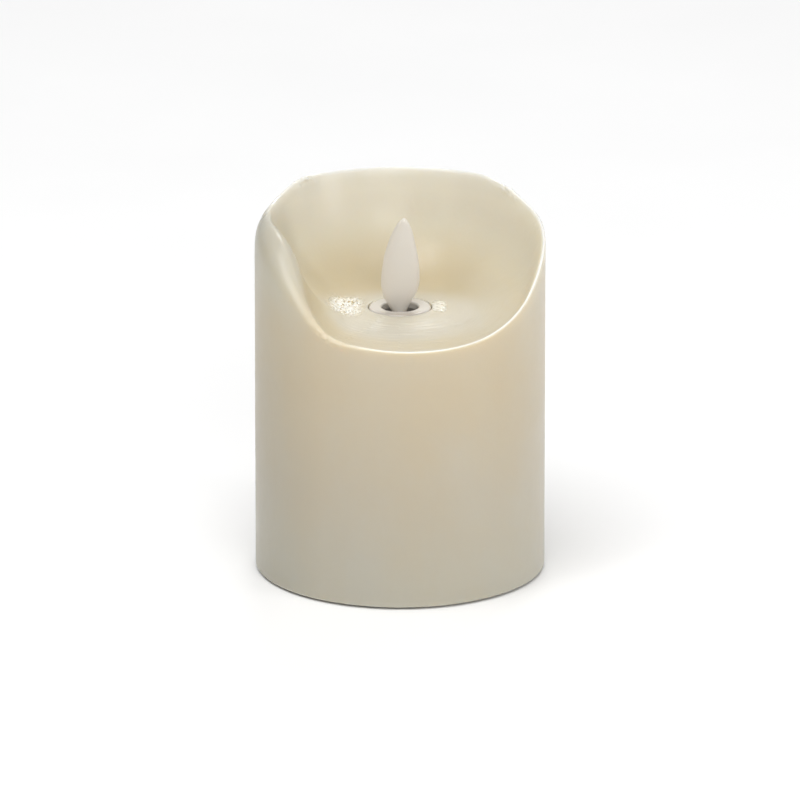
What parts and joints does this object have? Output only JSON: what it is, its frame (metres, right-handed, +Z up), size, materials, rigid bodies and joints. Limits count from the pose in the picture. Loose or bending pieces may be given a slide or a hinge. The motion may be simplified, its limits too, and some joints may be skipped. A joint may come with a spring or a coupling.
{
  "type": "flameless led candle",
  "caption": "Battery pillar candle in ivory wax, with a scooped melted-look top and a magnet-driven swaying flame over an upright lamp.",
  "frame": {"origin": "on the surface the candle stands on, under the centre of the pillar", "axes": "+Z up along the pillar; -Y is the front, where the melted rim is lowest; +X is to the right seen from the front"},
  "size_m": [0.076, 0.076, 0.098],
  "materials": {
    "ivory_wax": "glossy translucent ivory wax, melted look on top",
    "flame_white": "matte white translucent flame",
    "collar_white": "glossy white moulding",
    "housing_white": "satin off-white moulding, fine spark-eroded texture",
    "tower_white": "satin natural white moulding",
    "rubber_grey": "matte grey rubber",
    "zinc_screw": "zinc-plated steel",
    "contact_steel": "nickel-plated spring steel",
    "pivot_steel": "bright drawn steel wire",
    "magnet_nickel": "nickel-plated magnet",
    "core_iron": "bare soft iron",
    "cell_jacket": "printed foil jacket without lettering, bare metal ends",
    "black_plastic": "matte black moulding",
    "board_green": "solder-masked glass-fibre board",
    "copper_wire": "enamelled copper wire",
    "wire_red": "red insulation",
    "wire_black": "black insulation",
    "led_clear": "clear epoxy",
    "foam_grey": "closed-cell foam",
    "glue_clear": "hot-melt adhesive"
  },
  "bodies": {
    "candle": {"wax_shell": "ivory_wax", "base_housing": "housing_white", "polarity_marks": "housing_white", "rubber_feet": "rubber_grey", "housing_screws": "zinc_screw", "switch_frame": "black_plastic", "switch_pins": "contact_steel", "aa_cell_1": "cell_jacket", "aa_cell_2": "cell_jacket", "plus_contact": "contact_steel", "minus_contact": "contact_steel", "series_contact": "contact_steel", "mechanism_plate": "tower_white", "tower_left_shell": "tower_white", "tower_right_shell": "tower_white", "tower_seam_screws": "zinc_screw", "tower_foot_screws": "zinc_screw", "flame_collar": "collar_white", "led_lamp": "led_clear", "led_leads": "contact_steel", "led_holder": "tower_white", "circuit_board": "board_green", "coil_bobbin": "black_plastic", "coil_winding": "copper_wire", "coil_core": "core_iron", "coil_ends": "copper_wire", "controller_chip": "black_plastic", "chip_legs": "contact_steel", "smoothing_capacitor": "black_plastic", "chip_resistors": "black_plastic", "drive_transistors": "black_plastic", "battery_lead_red": "wire_red", "battery_lead_black": "wire_black", "switch_lead_black": "wire_black", "led_wire_red": "wire_red", "led_wire_black": "wire_black", "adhesive_ring": "glue_clear"},
    "pivot_wire": {"pivot_wire": "pivot_steel"},
    "flame": {"flame_vane": "flame_white", "flame_magnet": "magnet_nickel"},
    "battery_door": {"battery_door": "housing_white", "door_foam_pad": "foam_grey"},
    "switch_knob": {"switch_knob": "black_plastic"}
  },
  "joints": [
    {"name": "pivot_wire_swing", "type": "hinge", "parent": "candle", "child": "pivot_wire", "pos_m": [0, 0, 0.064], "axis": [0, 1, 0], "range_deg": [-10, 10]},
    {"name": "flame_rock", "type": "hinge", "parent": "pivot_wire", "child": "flame", "pos_m": [0, 0, 0.0625], "axis": [1, 0, 0], "range_deg": [-5, 5]},
    {"name": "battery_door_hinge", "type": "hinge", "parent": "candle", "child": "battery_door", "pos_m": [0, -0.0164, 0.0036], "axis": [-1, 0, 0], "range_deg": [0, 50]},
    {"name": "switch_slide", "type": "slide", "parent": "candle", "child": "switch_knob", "axis": [1, 0, 0], "range_m": [-0.002, 0.002]}
  ]
}
